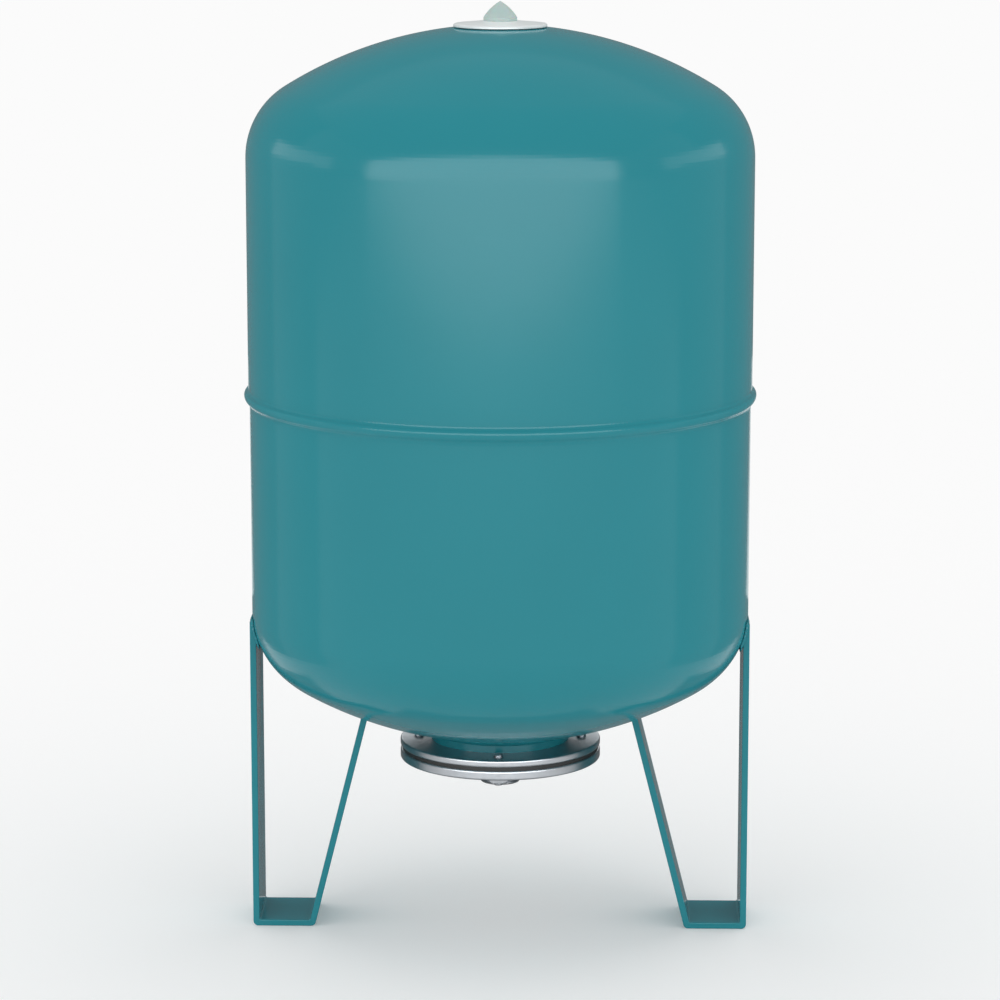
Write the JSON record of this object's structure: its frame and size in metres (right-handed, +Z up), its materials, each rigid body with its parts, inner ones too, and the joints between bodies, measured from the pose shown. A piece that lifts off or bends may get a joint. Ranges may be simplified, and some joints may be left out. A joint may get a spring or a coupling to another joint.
{
  "type": "well pressure tank",
  "caption": "Upright steel pressure tank with a girth weld, bent flat-bar legs, a bolted bottom flange with threaded inlet and a capped air valve on the crown.",
  "frame": {"origin": "on the floor, under the tank's axis", "axes": "+Z up along the tank's axis, legs along +X and -X, front towards -Y"},
  "size_m": [0.4065, 0.4066, 0.7424],
  "materials": {
    "paint": "semi-gloss teal enamel",
    "zinc": "bright zinc plate",
    "bare_steel": "bare steel",
    "black_rubber": "matt black",
    "brass": "turned",
    "washer_copper": "soft annealed sealing washer",
    "cap_plastic": "pale grey-green, slightly see-through"
  },
  "bodies": {
    "tank": {"upper_shell": "paint", "lower_shell": "paint", "girth_weld": "paint", "neck_collar": "paint", "neck_weld": "paint", "left_leg": "paint", "right_leg": "paint", "leg_welds": "paint", "backing_flange": "zinc", "counter_flange": "zinc", "inlet_nipple": "zinc", "flange_studs": "zinc", "flange_washers": "zinc", "flange_nuts": "zinc", "top_plate": "zinc", "valve_boss": "bare_steel", "core_spring": "bare_steel", "membrane": "black_rubber", "plate_pad": "black_rubber", "cap_seal": "black_rubber", "air_valve": "brass", "valve_core": "brass", "valve_washer": "washer_copper", "valve_cap": "cap_plastic"},
    "core_pin": {"core_pin": "brass", "core_seal": "black_rubber"}
  },
  "joints": [
    {"name": "core_pin_press", "type": "slide", "parent": "tank", "child": "core_pin", "axis": [0, 0, -1], "range_m": [0, 0.0012], "stiffness_N_per_m": 600, "springref_m": -0.003, "deforming": ["core_spring"]}
  ]
}
